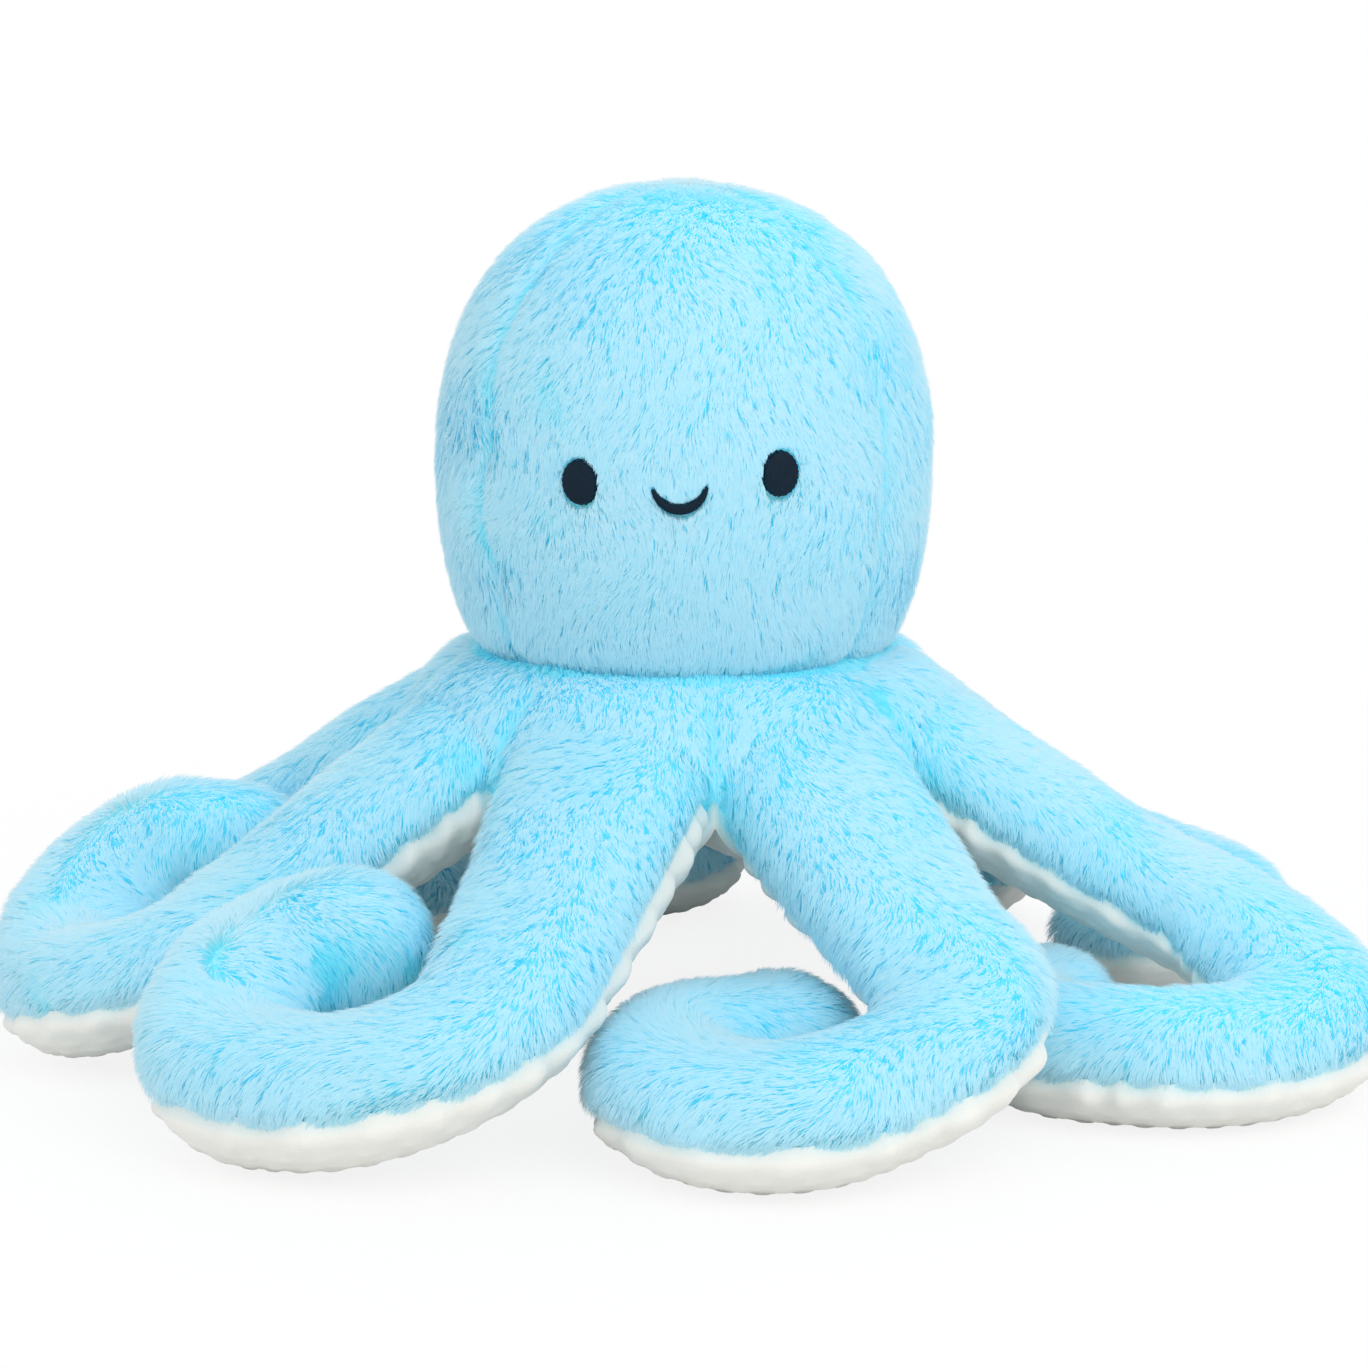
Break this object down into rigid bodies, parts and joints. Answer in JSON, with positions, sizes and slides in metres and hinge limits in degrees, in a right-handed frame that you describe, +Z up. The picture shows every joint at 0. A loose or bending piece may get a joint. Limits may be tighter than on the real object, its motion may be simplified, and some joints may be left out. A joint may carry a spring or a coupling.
{
  "type": "plush octopus",
  "caption": "Stuffed plush octopus with a round head on a ring of curled arms, furry on top and dotted white underneath, that sits on its arms.",
  "frame": {"origin": "on the floor under the middle of the object's box, which is under the head's axis to within 4 mm", "axes": "+Z up, -Y out of the face, +X to the right as one looks at the face"},
  "size_m": [0.5948, 0.5815, 0.3729],
  "materials": {
    "blue_plush": "long pile",
    "white_minky": "short pile with raised dots",
    "stuffing": "loose polyester fibre",
    "navy_thread": "satin stitch"
  },
  "bodies": {
    "body": {"body_cover": "blue_plush", "underside_panel": "white_minky", "body_stuffing": "stuffing"},
    "head": {"head_panel_front": "blue_plush", "head_panel_right": "blue_plush", "head_panel_left": "blue_plush", "head_panel_back": "blue_plush", "head_stuffing": "stuffing", "eye_left": "navy_thread", "eye_right": "navy_thread", "smile": "navy_thread"},
    "arm_1": {"arm_1_fur": "blue_plush", "arm_1_sole": "white_minky", "arm_1_stuffing": "stuffing"},
    "arm_1_tip": {"arm_1_tip_fur": "blue_plush", "arm_1_tip_sole": "white_minky", "arm_1_tip_stuffing": "stuffing"},
    "arm_2": {"arm_2_fur": "blue_plush", "arm_2_sole": "white_minky", "arm_2_stuffing": "stuffing"},
    "arm_2_tip": {"arm_2_tip_fur": "blue_plush", "arm_2_tip_sole": "white_minky", "arm_2_tip_stuffing": "stuffing"},
    "arm_3": {"arm_3_fur": "blue_plush", "arm_3_sole": "white_minky", "arm_3_stuffing": "stuffing"},
    "arm_3_tip": {"arm_3_tip_fur": "blue_plush", "arm_3_tip_sole": "white_minky", "arm_3_tip_stuffing": "stuffing"},
    "arm_4": {"arm_4_fur": "blue_plush", "arm_4_sole": "white_minky", "arm_4_stuffing": "stuffing"},
    "arm_4_tip": {"arm_4_tip_fur": "blue_plush", "arm_4_tip_sole": "white_minky", "arm_4_tip_stuffing": "stuffing"},
    "arm_5": {"arm_5_fur": "blue_plush", "arm_5_sole": "white_minky", "arm_5_stuffing": "stuffing"},
    "arm_5_tip": {"arm_5_tip_fur": "blue_plush", "arm_5_tip_sole": "white_minky", "arm_5_tip_stuffing": "stuffing"},
    "arm_6": {"arm_6_fur": "blue_plush", "arm_6_sole": "white_minky", "arm_6_stuffing": "stuffing"},
    "arm_6_tip": {"arm_6_tip_fur": "blue_plush", "arm_6_tip_sole": "white_minky", "arm_6_tip_stuffing": "stuffing"},
    "arm_7": {"arm_7_fur": "blue_plush", "arm_7_sole": "white_minky", "arm_7_stuffing": "stuffing"},
    "arm_7_tip": {"arm_7_tip_fur": "blue_plush", "arm_7_tip_sole": "white_minky", "arm_7_tip_stuffing": "stuffing"},
    "arm_8": {"arm_8_fur": "blue_plush", "arm_8_sole": "white_minky", "arm_8_stuffing": "stuffing"},
    "arm_8_tip": {"arm_8_tip_fur": "blue_plush", "arm_8_tip_sole": "white_minky", "arm_8_tip_stuffing": "stuffing"}
  },
  "joints": [
    {"name": "head_nod", "type": "hinge", "parent": "body", "child": "head", "pos_m": [0, 0, 0.249], "axis": [1, 0, 0], "range_deg": [-10, 10], "stiffness_Nm_per_rad": 6},
    {"name": "arm_1_lift", "type": "hinge", "parent": "body", "child": "arm_1", "pos_m": [-0.03288, -0.11098, 0.1545], "axis": [-0.9588, 0.284, 0], "range_deg": [0, 35], "stiffness_Nm_per_rad": 2},
    {"name": "arm_1_uncurl", "type": "hinge", "parent": "arm_1", "child": "arm_1_tip", "pos_m": [-0.03358, -0.22807, 0.06457], "axis": [0, 0, 1], "range_deg": [0, 30], "stiffness_Nm_per_rad": 1},
    {"name": "arm_2_lift", "type": "hinge", "parent": "body", "child": "arm_2", "pos_m": [-0.10172, -0.05523, 0.1545], "axis": [-0.4772, 0.8788, 0], "range_deg": [0, 35], "stiffness_Nm_per_rad": 2},
    {"name": "arm_2_uncurl", "type": "hinge", "parent": "arm_2", "child": "arm_2_tip", "pos_m": [-0.18302, -0.13761, 0.05811], "axis": [0, 0, 1], "range_deg": [0, 30], "stiffness_Nm_per_rad": 1},
    {"name": "arm_3_lift", "type": "hinge", "parent": "body", "child": "arm_3", "pos_m": [-0.11098, 0.03288, 0.1545], "axis": [0.284, 0.9588, 0], "range_deg": [0, 35], "stiffness_Nm_per_rad": 2},
    {"name": "arm_3_uncurl", "type": "hinge", "parent": "arm_3", "child": "arm_3_tip", "pos_m": [-0.22667, 0.05034, 0.05938], "axis": [0, 0, 1], "range_deg": [0, 30], "stiffness_Nm_per_rad": 1},
    {"name": "arm_4_lift", "type": "hinge", "parent": "body", "child": "arm_4", "pos_m": [-0.05523, 0.10172, 0.1545], "axis": [0.8788, 0.4772, 0], "range_deg": [0, 35], "stiffness_Nm_per_rad": 2},
    {"name": "arm_4_uncurl", "type": "hinge", "parent": "arm_4", "child": "arm_4_tip", "pos_m": [-0.12939, 0.16513, 0.0656], "axis": [0, 0, 1], "range_deg": [0, 30], "stiffness_Nm_per_rad": 1},
    {"name": "arm_5_lift", "type": "hinge", "parent": "body", "child": "arm_5", "pos_m": [0.03288, 0.11098, 0.1545], "axis": [0.9588, -0.284, 0], "range_deg": [0, 35], "stiffness_Nm_per_rad": 2},
    {"name": "arm_5_uncurl", "type": "hinge", "parent": "arm_5", "child": "arm_5_tip", "pos_m": [0.03002, 0.21745, 0.06428], "axis": [0, 0, 1], "range_deg": [0, 30], "stiffness_Nm_per_rad": 1},
    {"name": "arm_6_lift", "type": "hinge", "parent": "body", "child": "arm_6", "pos_m": [0.10172, 0.05523, 0.1545], "axis": [0.4772, -0.8788, 0], "range_deg": [0, 35], "stiffness_Nm_per_rad": 2},
    {"name": "arm_6_uncurl", "type": "hinge", "parent": "arm_6", "child": "arm_6_tip", "pos_m": [0.15368, 0.13676, 0.05881], "axis": [0, 0, 1], "range_deg": [0, 30], "stiffness_Nm_per_rad": 1},
    {"name": "arm_7_lift", "type": "hinge", "parent": "body", "child": "arm_7", "pos_m": [0.11098, -0.03288, 0.1545], "axis": [-0.284, -0.9588, 0], "range_deg": [0, 35], "stiffness_Nm_per_rad": 2},
    {"name": "arm_7_uncurl", "type": "hinge", "parent": "arm_7", "child": "arm_7_tip", "pos_m": [0.22428, -0.02451, 0.06308], "axis": [0, 0, 1], "range_deg": [0, 30], "stiffness_Nm_per_rad": 1},
    {"name": "arm_8_lift", "type": "hinge", "parent": "body", "child": "arm_8", "pos_m": [0.05523, -0.10172, 0.1545], "axis": [-0.8788, -0.4772, 0], "range_deg": [0, 35], "stiffness_Nm_per_rad": 2},
    {"name": "arm_8_uncurl", "type": "hinge", "parent": "arm_8", "child": "arm_8_tip", "pos_m": [0.13444, -0.16434, 0.06956], "axis": [0, 0, 1], "range_deg": [0, 30], "stiffness_Nm_per_rad": 1}
  ]
}
